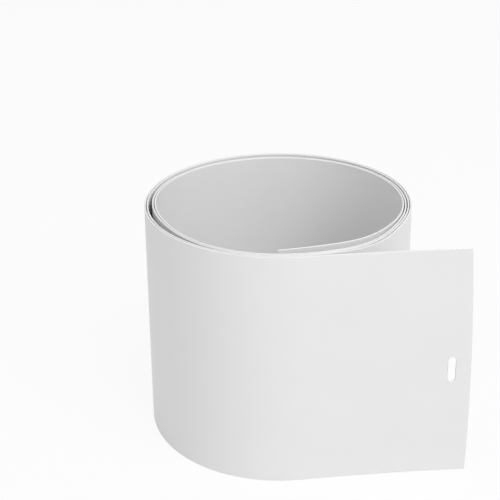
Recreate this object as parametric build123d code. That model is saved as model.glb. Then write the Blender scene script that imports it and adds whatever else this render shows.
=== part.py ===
from build123d import *
import math
import os

# Tree guard: one flat strip of white plastic, coiled on itself, cut here into the stretches
# that flex. Millimetres, +Z up. The origin is on the axis of the coil at its bottom edge, and
# the free end leaves the front of the coil (-Y) towards +X.

# the strip
strip_height = 102.0
strip_thickness = 0.7

# the coil, seen from above; bearings run from the front, towards +X and round by the back
coil_radius = 57.8                # outside of the last turn where the free end leaves
layer_gap = 0.3                   # air between neighbouring turns where they lie closest
closed_turns = 3                  # turns that stay coiled
leaving_bearing = 10.0            # degrees past the front, where the free end leaves

# where the sheet stands off the even spiral: first turn, last turn, bearing in degrees, half
# width in degrees, distance inwards (negative is outwards)
inner_end_spring = (1, 1, 24.0, 30.0, 4.6)
back_slack = (1, 2, 185.0, 60.0, 3.0)
front_left_slack = (1, 2, 298.0, 28.0, 1.9)
front_right_swell = (1, 5, 38.0, 17.0, -1.9)
outer_turn_swell = (4, 4, 42.0, 14.0, -0.7)
shape_terms = (
    inner_end_spring, back_slack, front_left_slack, front_right_swell, outer_turn_swell
)

# the outer turn, which unrolls as a row of panels
outer_panels = 8
hinge_clearance = 0.05

# the free end
free_length = 68.8
free_curl = 4.5                   # degrees that the free end bends away from the coil
first_flex = 20.0                 # along the free end, from where it leaves the coil
second_flex = 45.0

# the slots for a tie, one near each end
slot_width = 3.3
slot_height = 11.3
slot_to_end = 8.1                 # centre of the slot to the cut end
slot_middle = 48.3                # centre of the slot above the bottom edge
inner_end_sweep = 95.0            # degrees of the stretch that springs inwards

arc_step = 10.0                   # degrees of the coil that one arc of the outline covers

pitch = strip_thickness + layer_gap
half_thickness = strip_thickness / 2
outer_start = 360.0 * closed_turns + leaving_bearing
outer_end = outer_start + 360.0
panel_sweep = 360.0 / outer_panels


def inward_slack(bearing):
    # sum of smooth swellings, each a bell curve about its bearing, on each turn it holds for
    total = 0.0
    for first_turn, last_turn, centre, half_width, depth in shape_terms:
        for turn in range(first_turn - 1, last_turn):
            offset = (bearing - centre - 360.0 * turn) / half_width
            total += depth * math.exp(-offset ** 2)
    return total


def coil_middle(bearing):
    # middle of the sheet on the spiral, one pitch further out each turn
    turns_left = (outer_end - bearing) / 360.0
    radius = coil_radius - half_thickness - pitch * turns_left - inward_slack(bearing)
    angle = math.radians(bearing - 90.0)
    return Vector(radius * math.cos(angle), radius * math.sin(angle))


def coil_heading(bearing):
    # direction of travel along the spiral
    step = 0.01
    return (coil_middle(bearing + step) - coil_middle(bearing - step)).normalized()


leaving_point = coil_middle(outer_end)
leaving_heading = coil_heading(outer_end)
leaving_angle = math.atan2(leaving_heading.Y, leaving_heading.X)


def free_heading(distance):
    # the free end is one long arc that bends steadily away from the coil
    angle = leaving_angle - math.radians(free_curl) * distance / free_length
    return Vector(math.cos(angle), math.sin(angle))


def free_middle(distance):
    bend_radius = free_length / math.radians(free_curl)
    centre = leaving_point + bend_radius * Vector(
        math.sin(leaving_angle), -math.cos(leaving_angle)
    )
    angle = leaving_angle - distance / bend_radius
    return centre + bend_radius * Vector(-math.sin(angle), math.cos(angle))


def offset_points(middle, heading, stations, offset):
    # points beside the middle line, a positive offset to its right, the outside of the coil
    points = []
    for station in stations:
        ahead = heading(station)
        points.append(middle(station) + offset * Vector(ahead.Y, -ahead.X))
    return points


def arc_chain(points):
    # arcs that each pass through three points in a row
    arcs = []
    for index in range(0, len(points) - 2, 2):
        arcs.append(ThreePointArc(points[index], points[index + 1], points[index + 2]))
    return arcs


def stretch(middle, heading, start, end, longest_arc):
    # one stretch of sheet, full height, with square ends
    arc_count = max(1, math.ceil(abs(end - start) / longest_arc - 1e-6))
    stations = []
    for index in range(2 * arc_count + 1):
        stations.append(start + (end - start) * index / (2 * arc_count))
    outside = offset_points(middle, heading, stations, half_thickness)
    inside = offset_points(middle, heading, stations, -half_thickness)
    edges = arc_chain(outside) + arc_chain(inside)
    edges.append(Line(outside[0], inside[0]))
    edges.append(Line(outside[-1], inside[-1]))
    return extrude(make_face(Wire(edges)), strip_height)


def coil_stretch(start, end):
    return stretch(coil_middle, coil_heading, start, end, arc_step)


def free_stretch(start, end):
    return stretch(free_middle, free_heading, start, end, free_length)


def upright_rod(point, radius):
    return Pos(point.X, point.Y, strip_height / 2) * Cylinder(radius, strip_height)


def round_tip(sheet, point):
    # the end that carries the next panel is rounded about the line it bends on
    return sheet + upright_rod(point, half_thickness)


def hollow_tip(sheet, point):
    # the end that is carried clears the rounded tip all the way through its bend
    return sheet - upright_rod(point, half_thickness + hinge_clearance)


def tie_slot(point, heading):
    # round-ended upright slot through the sheet
    across = Vector(heading.Y, -heading.X)
    start = point - across * (2 * strip_thickness)
    plane = Plane(
        origin=(start.X, start.Y, slot_middle),
        x_dir=(0, 0, 1),
        z_dir=(across.X, across.Y, 0),
    )
    outline = plane * SlotOverall(slot_height, slot_width)
    return extrude(outline, 4 * strip_thickness)


def slot_bearing():
    # bearing at which the middle of the sheet is slot_to_end away from the inner cut end
    bearing = 0.0
    travelled = 0.0
    step = 0.01
    while travelled < slot_to_end:
        travelled += (coil_middle(bearing + step) - coil_middle(bearing)).length
        bearing += step
    return bearing


def make_inner_end():
    bearing = slot_bearing()
    sheet = coil_stretch(0.0, inner_end_sweep)
    return sheet - tie_slot(coil_middle(bearing), coil_heading(bearing))


def make_inner_turn(number):
    sweep = (outer_start - inner_end_sweep) / closed_turns
    start = inner_end_sweep + sweep * (number - 1)
    sheet = coil_stretch(start, start + sweep)
    if number == closed_turns:
        sheet = round_tip(sheet, coil_middle(outer_start))
    return sheet


def make_outer_panel(number):
    start = outer_start + panel_sweep * (number - 1)
    end = start + panel_sweep
    sheet = coil_stretch(start, end)
    if number == outer_panels:
        sheet += free_stretch(0.0, first_flex)
        sheet = round_tip(sheet, free_middle(first_flex))
    else:
        sheet = round_tip(sheet, coil_middle(end))
    return hollow_tip(sheet, coil_middle(start))


def make_free_end_panel():
    sheet = free_stretch(first_flex, second_flex)
    sheet = round_tip(sheet, free_middle(second_flex))
    return hollow_tip(sheet, free_middle(first_flex))


def make_slotted_end():
    slot_place = free_length - slot_to_end
    sheet = free_stretch(second_flex, free_length)
    sheet = hollow_tip(sheet, free_middle(second_flex))
    return sheet - tie_slot(free_middle(slot_place), free_heading(slot_place))


def make_nodes():
    nodes = {"inner_end": make_inner_end()}
    for number in range(1, closed_turns + 1):
        nodes[f"inner_turn_{number}"] = make_inner_turn(number)
    for number in range(1, outer_panels + 1):
        nodes[f"outer_turn_panel_{number}"] = make_outer_panel(number)
    nodes["free_end_panel"] = make_free_end_panel()
    nodes["slotted_end"] = make_slotted_end()
    return nodes


os.makedirs("parts", exist_ok=True)
for node_name, shape in make_nodes().items():
    export_step(shape, f"parts/{node_name}.step")
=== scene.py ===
import bpy
import numpy as np
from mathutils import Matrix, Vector


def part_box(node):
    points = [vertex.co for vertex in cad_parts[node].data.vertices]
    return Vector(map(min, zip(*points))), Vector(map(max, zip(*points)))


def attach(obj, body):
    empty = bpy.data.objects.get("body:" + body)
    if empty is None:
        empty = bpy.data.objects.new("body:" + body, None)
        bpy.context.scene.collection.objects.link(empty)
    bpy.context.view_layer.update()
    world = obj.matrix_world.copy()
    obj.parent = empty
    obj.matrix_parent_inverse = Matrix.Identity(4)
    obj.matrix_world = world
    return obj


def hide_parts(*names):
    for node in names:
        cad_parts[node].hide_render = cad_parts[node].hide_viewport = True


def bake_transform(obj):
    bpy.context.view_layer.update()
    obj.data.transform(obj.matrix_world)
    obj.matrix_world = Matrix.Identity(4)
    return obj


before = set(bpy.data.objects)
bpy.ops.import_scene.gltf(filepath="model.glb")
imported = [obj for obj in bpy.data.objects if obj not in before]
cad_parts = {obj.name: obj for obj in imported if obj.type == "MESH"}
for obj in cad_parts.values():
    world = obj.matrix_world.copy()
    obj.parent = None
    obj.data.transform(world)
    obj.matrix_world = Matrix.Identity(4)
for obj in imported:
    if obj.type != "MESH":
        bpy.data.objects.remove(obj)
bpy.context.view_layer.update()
print("frame loaded")

# the strip and its coil, in metres and degrees; bearings run from the front (-Y) towards +X
strip = {
    "thickness": 0.0007,
    "edgeRound": 0.00016,      # radius on the long edges and cut ends
    "coilRadius": 0.0578,      # outside of the last turn where the free end leaves
    "layerGap": 0.0003,
    "closedTurns": 3,
    "leavingBearing": 10.0,
    "panels": 8,
    "freeLength": 0.0688,
    "freeCurl": 4.5,           # degrees that the free end bends away from the coil
    "firstFlex": 0.020,
    "secondFlex": 0.045,
    "endBow": 0.0024,          # how far the cut end falls back at its top corner
    "endBowMiddle": 0.030,     # height at which the cut end reaches furthest
    "bearingStep": 1.5,        # degrees between stations along the coil
    "freeStep": 0.0015,        # metres between stations along the free end
    "heightRows": 10,
    "roundSteps": 5,           # points on each rounded corner of the section
    "sharpAngle": 50.0,
}
# where the sheet stands off the even spiral: first turn, last turn, bearing, half width in
# degrees, distance inwards (negative is outwards)
slack = [
    (1, 1, 24.0, 30.0, 0.0046),
    (1, 2, 185.0, 60.0, 0.0030),
    (1, 2, 298.0, 28.0, 0.0019),
    (1, 5, 38.0, 17.0, -0.0019),
    (4, 4, 42.0, 14.0, -0.0007),
]
slot = {
    "width": 0.0033,
    "height": 0.0113,
    "toEnd": 0.0081,
    "middle": 0.0483,
    "rimRound": 0.00018,
    "spokes": 96,
    "patchLength": 0.0112,     # stretch of sheet made together with the slot
    "rimStations": 17,         # extra spokes at each round end of the slot
    # shares of the way from the slot's rim to the patch's edge, closer together near both
    "spread": (0.01, 0.04, 0.1, 0.2, 0.35, 0.5, 0.65, 0.8, 0.9, 0.96),
}

bottom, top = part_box("inner_turn_1")[0][2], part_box("inner_turn_1")[1][2]
outerStart = 360.0 * strip["closedTurns"] + strip["leavingBearing"]
outerEnd = outerStart + 360.0
panelSweep = 360.0 / strip["panels"]
half = strip["thickness"] / 2
tiny = 1e-9    # keeps a division from meeting zero


def coilMiddle(bearing):
    # spiral: radius grows one pitch a turn, less a sum of bell curves where the sheet stands in
    pitch = strip["thickness"] + strip["layerGap"]
    radius = strip["coilRadius"] - half - pitch * (outerEnd - bearing) / 360.0
    for firstTurn, lastTurn, centre, width, depth in slack:
        for turn in range(firstTurn - 1, lastTurn):
            radius = radius - depth * np.exp(-(((bearing - centre - 360.0 * turn) / width) ** 2))
    angle = np.radians(bearing - 90.0)
    return np.stack([radius * np.cos(angle), radius * np.sin(angle)], axis=-1)


def unit(vectors):
    return vectors / np.linalg.norm(vectors, axis=-1, keepdims=True)


def coilHeading(bearing):
    step = 0.01    # degrees to either side
    return unit(coilMiddle(bearing + step) - coilMiddle(bearing - step))


leavingPoint = coilMiddle(np.array(outerEnd))
leavingAhead = coilHeading(np.array(outerEnd))
leavingAngle = np.arctan2(leavingAhead[1], leavingAhead[0])


def freeMiddle(distance):
    # one long arc from the leaving point, turning away from the coil
    bend = strip["freeLength"] / np.radians(strip["freeCurl"])
    centre = leavingPoint + bend * np.array([np.sin(leavingAngle), -np.cos(leavingAngle)])
    angle = leavingAngle - distance / bend
    return centre + bend * np.stack([-np.sin(angle), np.cos(angle)], axis=-1)


def freeHeading(distance):
    step = 1e-5    # metres to either side
    return unit(freeMiddle(distance + step) - freeMiddle(distance - step))


def coilRun(start, end):
    count = max(2, int(np.ceil((end - start) / strip["bearingStep"])) + 1)
    bearing = np.linspace(start, end, count)
    return coilMiddle(bearing), coilHeading(bearing)


def freeRun(start, end):
    count = max(2, int(np.ceil((end - start) / strip["freeStep"])) + 1)
    distance = np.linspace(start, end, count)
    return freeMiddle(distance), freeHeading(distance)


def joinRuns(first, second):
    # the second run starts where the first ends, so its first station is left out
    return tuple(np.concatenate([a, b[1:]]) for a, b in zip(first, second))


def edgeProfile():
    # closed outline of the sheet's section: two faces in rows, quarter rounds at the four corners
    r = strip["edgeRound"]
    quarter = np.linspace(0.0, np.pi / 2, strip["roundSteps"])
    inset = 3 * r    # the rows stay clear of the rounded corners
    face = np.linspace(bottom + inset, top - inset, strip["heightRows"])
    across = np.concatenate([
        np.full(face.size, half), half - r + r * np.cos(quarter),
        -(half - r) - r * np.sin(quarter), np.full(face.size, -half),
        -(half - r) - r * np.cos(quarter), half - r + r * np.sin(quarter),
    ])
    height = np.concatenate([
        face, top - r + r * np.sin(quarter),
        top - r + r * np.cos(quarter), face[::-1],
        bottom + r - r * np.sin(quarter), bottom + r - r * np.cos(quarter),
    ])
    return across, height


def meshPiece(name, points, uv, faces, material):
    mesh = bpy.data.meshes.new(name)
    mesh.from_pydata(points.reshape(-1, 3), [], faces)
    layer = mesh.uv_layers.new(name="stripMap")
    corner = np.empty(len(mesh.loops), dtype=np.int32)
    mesh.loops.foreach_get("vertex_index", corner)
    layer.uv.foreach_set("vector", uv.reshape(-1, 2)[corner].ravel())
    mesh.shade_smooth()
    mesh.set_sharp_from_angle(angle=np.radians(strip["sharpAngle"]))
    mesh.materials.append(material)
    piece = bpy.data.objects.new(name, mesh)
    bpy.context.scene.collection.objects.link(piece)
    return piece


def gridFaces(rows, columns, closeRows):
    # quads between neighbouring stations and neighbouring outline points, outline closed on itself
    i = np.arange(rows if closeRows else rows - 1)[:, None]
    j = np.arange(columns)[None, :]
    nextI = (i + 1) % rows
    nextJ = (j + 1) % columns
    quads = np.stack(np.broadcast_arrays(
        i * columns + j, nextI * columns + j, nextI * columns + nextJ, i * columns + nextJ
    ), axis=-1)
    return quads.reshape(-1, 4).tolist()


def sheetPiece(name, run, startLength, material):
    # the outline is carried along the run: middle point, plus outward normal times across
    middle, heading = run
    across, height = edgeProfile()
    outward = np.stack([heading[:, 1], -heading[:, 0]], axis=-1)
    rows, columns = len(middle), len(across)
    points = np.empty((rows, columns, 3))
    points[:, :, :2] = middle[:, None, :] + across[None, :, None] * outward[:, None, :]
    points[:, :, 2] = height[None, :]
    steps = np.linalg.norm(np.diff(middle, axis=0), axis=1)
    length = startLength + np.concatenate([[0.0], np.cumsum(steps)])
    uv = np.empty((rows, columns, 2))
    uv[:, :, 0] = length[:, None]
    uv[:, :, 1] = height[None, :]
    faces = gridFaces(rows, columns, False)
    faces.append(list(range(columns)))
    faces.append([(rows - 1) * columns + j for j in reversed(range(columns))])
    return meshPiece(name, points, uv, faces, material), length[-1]


def slotOutline(angle):
    # distance from the middle of a round-ended slot to its rim, in each direction
    r = slot["width"] / 2
    reach = slot["height"] / 2 - r
    cosine, sine = np.abs(np.cos(angle)), np.abs(np.sin(angle))
    side = r / np.maximum(cosine, tiny)
    cap = reach * sine + np.sqrt(np.maximum(r * r - (reach * cosine) ** 2, 0.0))
    return np.where(side * sine <= reach, side, cap)


def patchOutline(angle, low, high):
    # distance from the slot's middle to the edge of the patch, in each direction
    cosine, sine = np.cos(angle), np.sin(angle)
    alongReach = np.where(cosine > 0, high, low) / np.maximum(np.abs(cosine), tiny)
    upReach = np.where(sine > 0, top - slot["middle"], slot["middle"] - bottom)
    return np.minimum(alongReach, upReach / np.maximum(np.abs(sine), tiny))


def slottedPiece(name, sheetPlace, low, high, bow, startLength, material):
    # spokes run from the slot's rim to the patch's edge, and each carries a closed loop over
    # both faces; sheetPlace turns distance past the slot's middle into a place and a heading
    up, down = top - slot["middle"], slot["middle"] - bottom
    corners = np.array([
        np.arctan2(up, high), np.arctan2(up, low), np.arctan2(-down, low), np.arctan2(-down, high)
    ])
    spokes = np.linspace(-np.pi, np.pi, slot["spokes"], endpoint=False)
    straight = np.arctan2(slot["height"] - slot["width"], slot["width"])
    rimEnds = np.linspace(straight, np.pi - straight, slot["rimStations"])
    # rounding lets directions that coincide count once
    angle = np.unique(np.concatenate([spokes, corners, rimEnds, -rimEnds]).round(6))
    rim = slotOutline(angle)
    edge = patchOutline(angle, -low, high)

    quarter = np.linspace(0.0, np.pi / 2, strip["roundSteps"])
    rising, falling = 1 - np.cos(quarter), 1 - np.sin(quarter)
    flat = np.zeros(quarter.size)
    span = np.array(slot["spread"])
    level = np.zeros(span.size)
    # for each point of the loop: share of the way out, then shares of each rounding
    share = np.concatenate([flat, span, flat + 1, flat + 1, span[::-1], flat])
    rimIn = np.concatenate([rising, level, flat, flat, level, rising[::-1]])
    rimDrop = np.concatenate([falling, level, flat, flat, level, falling[::-1]])
    edgeIn = np.concatenate([flat, level, falling[::-1], falling, level, flat])
    edgeDrop = np.concatenate([flat, level, rising, rising[::-1], level, flat])
    # the first half of the loop is on the outer face, and the second half on the inner one
    loopSide = np.repeat([1.0, -1.0], share.size // 2)

    # the cut that meets the next piece stays square, so that no groove shows there
    seam = low if abs(low) < abs(high) else high
    onSeam = 1e-7    # metres
    seamSide = np.abs(np.cos(angle) * edge - seam) < onSeam
    edgeRound = np.where(seamSide, 0.0, strip["edgeRound"])[:, None]
    out = (rim[:, None] + (edge - rim)[:, None] * share + slot["rimRound"] * rimIn
           - edgeRound * edgeIn)
    across = loopSide * (half - slot["rimRound"] * rimDrop - edgeRound * edgeDrop)
    along = out * np.cos(angle)[:, None]
    height = slot["middle"] + out * np.sin(angle)[:, None]
    # the far cut end is a shallow curve: it falls back with the square of the height
    # above or below endBowMiddle
    fallBack = ((height - strip["endBowMiddle"]) / (top - strip["endBowMiddle"])) ** 2
    along = along - bow * fallBack * (np.maximum(along, 0.0) / high) ** 2
    middle, heading = sheetPlace(along)
    outward = np.stack([heading[..., 1], -heading[..., 0]], axis=-1)
    points = np.empty(along.shape + (3,))
    points[..., :2] = middle + across[..., None] * outward
    points[..., 2] = height
    uv = np.stack([startLength + along, points[..., 2]], axis=-1)
    faces = gridFaces(along.shape[0], along.shape[1], True)
    return meshPiece(name, points, uv, faces, material)


# white plastic: colour as it renders, roughness, and how the lines, mottle and scuffs show
plastic = {
    "colour": (0.79, 0.79, 0.795, 1.0),
    "shade": (0.765, 0.765, 0.77, 1.0),
    "roughness": (0.36, 0.48),
    "sheen": 0.5,
    "refraction": 1.49,
    "lineScale": 900.0,
    "lineStretch": 0.008,      # how slowly a line changes along the strip
    "lineDetail": 3.0,
    "lineTone": 0.35,          # weight of the lines beside the mottle
    "lineStrength": 0.25,
    "streakDepth": 0.00002,
    "mottleScale": 45.0,
    "mottleDetail": 2.0,
    "scuffScale": 160.0,
    "scuffDetail": 6.0,
    "scuffDistortion": 1.5,
    "scuffRange": (0.62, 0.78),
    "scuffGloss": 0.6,         # weight of the scuffs beside the mottle
}


def sheetFinishGroup():
    # faint lines drawn along the strip by the die, a soft mottle, and sparse handling scuffs
    group = bpy.data.node_groups.new("sheetFinish", "ShaderNodeTree")
    scales = (
        ("Lines", plastic["lineScale"]),
        ("Mottle", plastic["mottleScale"]),
        ("Scuffs", plastic["scuffScale"]),
    )
    for name, default in scales:
        socket = group.interface.new_socket(name, in_out="INPUT", socket_type="NodeSocketFloat")
        socket.default_value = default
    for name in ("Tone", "Gloss", "Height"):
        group.interface.new_socket(name, in_out="OUTPUT", socket_type="NodeSocketFloat")
    nodes, links = group.nodes, group.links
    inputs = nodes.new("NodeGroupInput")
    outputs = nodes.new("NodeGroupOutput")
    stripUv = nodes.new("ShaderNodeUVMap")
    stripUv.uv_map = "stripMap"

    # lines keep their height and drift slowly along the length
    stretch = nodes.new("ShaderNodeMapping")
    stretch.inputs["Scale"].default_value = (plastic["lineStretch"], 1.0, 1.0)
    lines = nodes.new("ShaderNodeTexNoise")
    lines.inputs["Detail"].default_value = plastic["lineDetail"]
    mottle = nodes.new("ShaderNodeTexNoise")
    mottle.inputs["Detail"].default_value = plastic["mottleDetail"]
    scuffs = nodes.new("ShaderNodeTexNoise")
    scuffs.inputs["Detail"].default_value = plastic["scuffDetail"]
    scuffs.inputs["Distortion"].default_value = plastic["scuffDistortion"]
    links.new(stripUv.outputs["UV"], stretch.inputs["Vector"])
    links.new(stretch.outputs["Vector"], lines.inputs["Vector"])
    links.new(stripUv.outputs["UV"], mottle.inputs["Vector"])
    links.new(stripUv.outputs["UV"], scuffs.inputs["Vector"])
    links.new(inputs.outputs["Lines"], lines.inputs["Scale"])
    links.new(inputs.outputs["Mottle"], mottle.inputs["Scale"])
    links.new(inputs.outputs["Scuffs"], scuffs.inputs["Scale"])

    scuffMask = nodes.new("ShaderNodeMapRange")
    scuffMask.inputs["From Min"].default_value = plastic["scuffRange"][0]
    scuffMask.inputs["From Max"].default_value = plastic["scuffRange"][1]
    links.new(scuffs.outputs["Fac"], scuffMask.inputs["Value"])
    tone = nodes.new("ShaderNodeMath")
    tone.operation = "MULTIPLY_ADD"
    tone.inputs[1].default_value = plastic["lineTone"]
    links.new(lines.outputs["Fac"], tone.inputs[0])
    links.new(mottle.outputs["Fac"], tone.inputs[2])
    links.new(tone.outputs["Value"], outputs.inputs["Tone"])
    gloss = nodes.new("ShaderNodeMath")
    gloss.operation = "MULTIPLY_ADD"
    gloss.inputs[1].default_value = plastic["scuffGloss"]
    links.new(scuffMask.outputs["Result"], gloss.inputs[0])
    links.new(mottle.outputs["Fac"], gloss.inputs[2])
    links.new(gloss.outputs["Value"], outputs.inputs["Gloss"])
    links.new(lines.outputs["Fac"], outputs.inputs["Height"])
    return group


def whitePlastic():
    material = bpy.data.materials.new("whitePlastic")
    material.use_nodes = True
    nodes, links = material.node_tree.nodes, material.node_tree.links
    shader = nodes["Principled BSDF"]
    finish = nodes.new("ShaderNodeGroup")
    finish.node_tree = sheetFinishGroup()
    colour = nodes.new("ShaderNodeMix")
    colour.data_type = "RGBA"
    colour.inputs["A"].default_value = plastic["shade"]
    colour.inputs["B"].default_value = plastic["colour"]
    roughness = nodes.new("ShaderNodeMapRange")
    roughness.inputs["To Min"].default_value = plastic["roughness"][0]
    roughness.inputs["To Max"].default_value = plastic["roughness"][1]
    bump = nodes.new("ShaderNodeBump")
    bump.inputs["Strength"].default_value = plastic["lineStrength"]
    bump.inputs["Distance"].default_value = plastic["streakDepth"]
    links.new(finish.outputs["Tone"], colour.inputs["Factor"])
    links.new(colour.outputs["Result"], shader.inputs["Base Color"])
    links.new(finish.outputs["Gloss"], roughness.inputs["Value"])
    links.new(roughness.outputs["Result"], shader.inputs["Roughness"])
    links.new(finish.outputs["Height"], bump.inputs["Height"])
    links.new(bump.outputs["Normal"], shader.inputs["Normal"])
    shader.inputs["IOR"].default_value = plastic["refraction"]
    shader.inputs["Specular IOR Level"].default_value = plastic["sheen"]
    return material


print("materials")
white = whitePlastic()


def innerBearing(distance):
    # bearing at a distance from the inner cut end, read off a fine run of stations
    reach, step = 40.0, 0.01    # degrees, well past the stretch made with the slot
    fine = np.linspace(0.0, reach, round(reach / step) + 1)
    steps = np.linalg.norm(np.diff(coilMiddle(fine), axis=0), axis=1)
    travelled = np.concatenate([[0.0], np.cumsum(steps)])
    return np.interp(distance, travelled, fine)


def innerSlotPlace(along):
    # the slot's middle lies toEnd past the inner cut end, measured along the sheet
    bearing = innerBearing(slot["toEnd"] + along)
    return coilMiddle(bearing), coilHeading(bearing)


def outerSlotPlace(along):
    distance = strip["freeLength"] - slot["toEnd"] + along
    return freeMiddle(distance), freeHeading(distance)


# the strip in stretches: still ones ride, and each one over a flexing line stands on its own,
# fixed where it is built
patchEnd = slot["patchLength"] - slot["toEnd"]
innerSlotted = slottedPiece(
    "innerEnd", innerSlotPlace, -slot["toEnd"], patchEnd, 0.0, slot["toEnd"], white
)
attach(innerSlotted, "coil")
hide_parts("inner_end")

bodies = ["coil"] + [f"outer_turn_{number}" for number in range(1, strip["panels"] + 1)]
patchBearing = float(innerBearing(slot["patchLength"]))
start = patchBearing
end = outerStart - panelSweep / 2
coil, length = sheetPiece("coiledTurns", coilRun(start, end), slot["patchLength"], white)
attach(coil, "coil")
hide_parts(*[f"inner_turn_{number}" for number in range(1, strip["closedTurns"] + 1)])
print("coiled turns")

for number in range(1, strip["panels"] + 1):
    start, end = end, end + panelSweep
    bend, length = sheetPiece(f"outerTurnBend{number}", coilRun(start, end), length, white)
    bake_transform(bend)
    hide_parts(f"outer_turn_panel_{number}")
print("outer turn")

flexMiddle = (strip["firstFlex"] + strip["secondFlex"]) / 2
flexReach = flexMiddle - strip["firstFlex"]
leaving, length = sheetPiece(
    "leavingStretch",
    joinRuns(coilRun(end, outerEnd), freeRun(0.0, strip["firstFlex"] - flexReach)), length, white,
)
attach(leaving, bodies[-1])
firstBend, length = sheetPiece(
    "freeEndBend", freeRun(strip["firstFlex"] - flexReach, flexMiddle), length, white
)
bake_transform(firstBend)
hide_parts("free_end_panel")
patchStart = strip["freeLength"] - slot["patchLength"]
secondBend, length = sheetPiece("tieEndBend", freeRun(flexMiddle, patchStart), length, white)
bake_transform(secondBend)
outerSlotted = slottedPiece(
    "tieEnd", outerSlotPlace, -patchEnd, slot["toEnd"], strip["endBow"], length + patchEnd,
    white,
)
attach(outerSlotted, "tie_end")
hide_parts("slotted_end")
print("free end")

# plain white room: the camera sees white, and the light on the strip is softer
studio = {
    "skyStrength": 0.54,
    "keySize": 0.9,
    "keyPower": 12.0,
    "keyPlace": (0.70, -0.82, 1.15),
    "fillSize": 1.0,
    "fillPower": 2.0,
    "fillPlace": (-0.9, -0.7, 0.6),
    "overheadSize": 0.5,
    "overheadPower": 1.5,
    "overheadPlace": (0.25, -0.15, 1.1),
    "floorSize": 4.0,
    "floorColour": (0.78, 0.78, 0.78, 1.0),
    "floorShadow": 0.1,        # share of the floor's own shading that the camera sees
}
camera = {
    "place": (0.00272, -0.44862, 0.28991),
    "pitch": 69.773,           # degrees up from straight down
    "lens": 81.25,
    "sensor": 36.0,
    "shift": (-0.07, -0.20),
}


def seenDirectly(nodes, links):
    # 1 for what the camera sees, straight or by gloss or through glass
    path = nodes.new("ShaderNodeLightPath")
    first = nodes.new("ShaderNodeMath")
    first.operation = "MAXIMUM"
    second = nodes.new("ShaderNodeMath")
    second.operation = "MAXIMUM"
    links.new(path.outputs["Is Camera Ray"], first.inputs[0])
    links.new(path.outputs["Is Glossy Ray"], first.inputs[1])
    links.new(first.outputs["Value"], second.inputs[0])
    links.new(path.outputs["Is Transmission Ray"], second.inputs[1])
    return second.outputs["Value"]


def whiteWorld():
    world = bpy.data.worlds.new("whiteRoom")
    world.use_nodes = True
    nodes, links = world.node_tree.nodes, world.node_tree.links
    nodes.clear()
    output = nodes.new("ShaderNodeOutputWorld")
    seen = nodes.new("ShaderNodeBackground")
    soft = nodes.new("ShaderNodeBackground")
    soft.inputs["Strength"].default_value = studio["skyStrength"]
    for shade in (seen, soft):
        shade.inputs["Color"].default_value = (1.0, 1.0, 1.0, 1.0)
    mix = nodes.new("ShaderNodeMixShader")
    links.new(seenDirectly(nodes, links), mix.inputs["Fac"])
    links.new(soft.outputs["Background"], mix.inputs[1])
    links.new(seen.outputs["Background"], mix.inputs[2])
    links.new(mix.outputs["Shader"], output.inputs["Surface"])
    bpy.context.scene.world = world


def floorMaterial():
    material = bpy.data.materials.new("paleFloor")
    material.use_nodes = True
    nodes, links = material.node_tree.nodes, material.node_tree.links
    nodes.clear()
    output = nodes.new("ShaderNodeOutputMaterial")
    matt = nodes.new("ShaderNodeBsdfDiffuse")
    matt.inputs["Color"].default_value = studio["floorColour"]
    glow = nodes.new("ShaderNodeEmission")
    share = nodes.new("ShaderNodeMath")
    share.operation = "MULTIPLY"
    share.inputs[1].default_value = 1.0 - studio["floorShadow"]
    mix = nodes.new("ShaderNodeMixShader")
    links.new(seenDirectly(nodes, links), share.inputs[0])
    links.new(share.outputs["Value"], mix.inputs["Fac"])
    links.new(matt.outputs["BSDF"], mix.inputs[1])
    links.new(glow.outputs["Emission"], mix.inputs[2])
    links.new(mix.outputs["Shader"], output.inputs["Surface"])
    return material


def softLamp(name, place, size, power):
    light = bpy.data.lights.new(name, "AREA")
    light.size = size
    light.energy = power
    lamp = bpy.data.objects.new(name, light)
    lamp.location = place
    lamp.rotation_euler = Vector(place).to_track_quat("Z", "Y").to_euler()
    bpy.context.scene.collection.objects.link(lamp)


def buildStudio():
    whiteWorld()
    reach = studio["floorSize"] / 2
    mesh = bpy.data.meshes.new("floor")
    corners = [
        (-reach, -reach, bottom), (reach, -reach, bottom),
        (reach, reach, bottom), (-reach, reach, bottom),
    ]
    mesh.from_pydata(corners, [], [(0, 1, 2, 3)])
    mesh.materials.append(floorMaterial())
    floor = bpy.data.objects.new("floor", mesh)
    bpy.context.scene.collection.objects.link(floor)
    for lamp in ("key", "fill", "overhead"):
        place, size, power = (studio[lamp + value] for value in ("Place", "Size", "Power"))
        softLamp(f"{lamp}Lamp", place, size, power)
    view = bpy.data.cameras.new("camera")
    view.sensor_width = camera["sensor"]
    view.lens = camera["lens"]
    view.shift_x, view.shift_y = camera["shift"]
    eye = bpy.data.objects.new("camera", view)
    eye.location = camera["place"]
    eye.rotation_euler = (np.radians(camera["pitch"]), 0.0, 0.0)
    bpy.context.scene.collection.objects.link(eye)
    bpy.context.scene.camera = eye
    bpy.context.scene.view_settings.view_transform = "Standard"


buildStudio()
print("studio")
